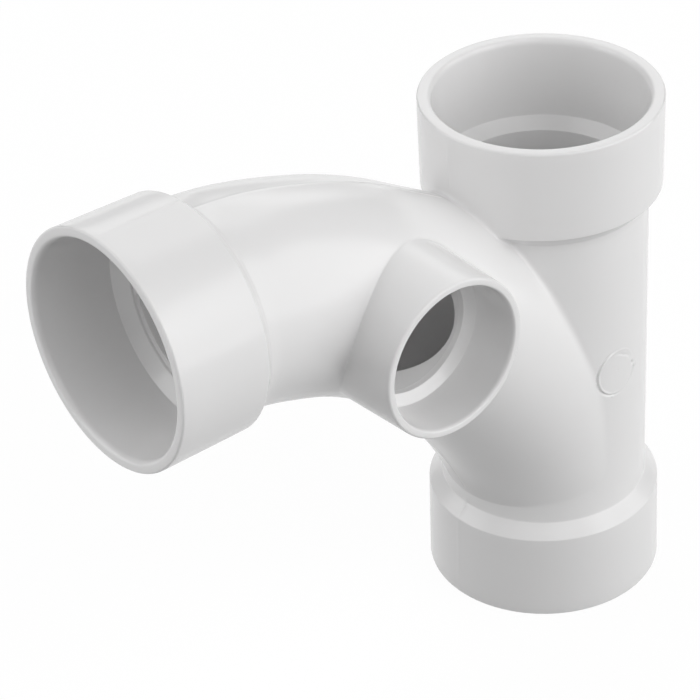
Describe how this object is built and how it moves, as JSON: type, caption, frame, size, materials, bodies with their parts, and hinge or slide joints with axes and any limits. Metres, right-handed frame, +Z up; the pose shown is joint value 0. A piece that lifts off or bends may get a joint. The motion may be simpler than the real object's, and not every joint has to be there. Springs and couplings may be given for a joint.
{
  "type": "combination wye with side inlet",
  "caption": "Moulded white drainage fitting that joins a long swept branch, and a smaller inlet in the branch's side, to a vertical run; every end is a pipe socket.",
  "frame": {"origin": "on the run's axis at the inner end of the bottom socket, where a pipe's end stops; the bottom rim lies 36 mm below it", "axes": "+Z up the run towards its top socket; the branch opens towards -X and the side inlet towards -Y"},
  "size_m": [0.2735, 0.1155, 0.2572],
  "materials": {
    "white_pvc": "smooth, moderately glossy moulded surface"
  },
  "bodies": {
    "root": {"fitting": "white_pvc"}
  },
  "joints": []
}
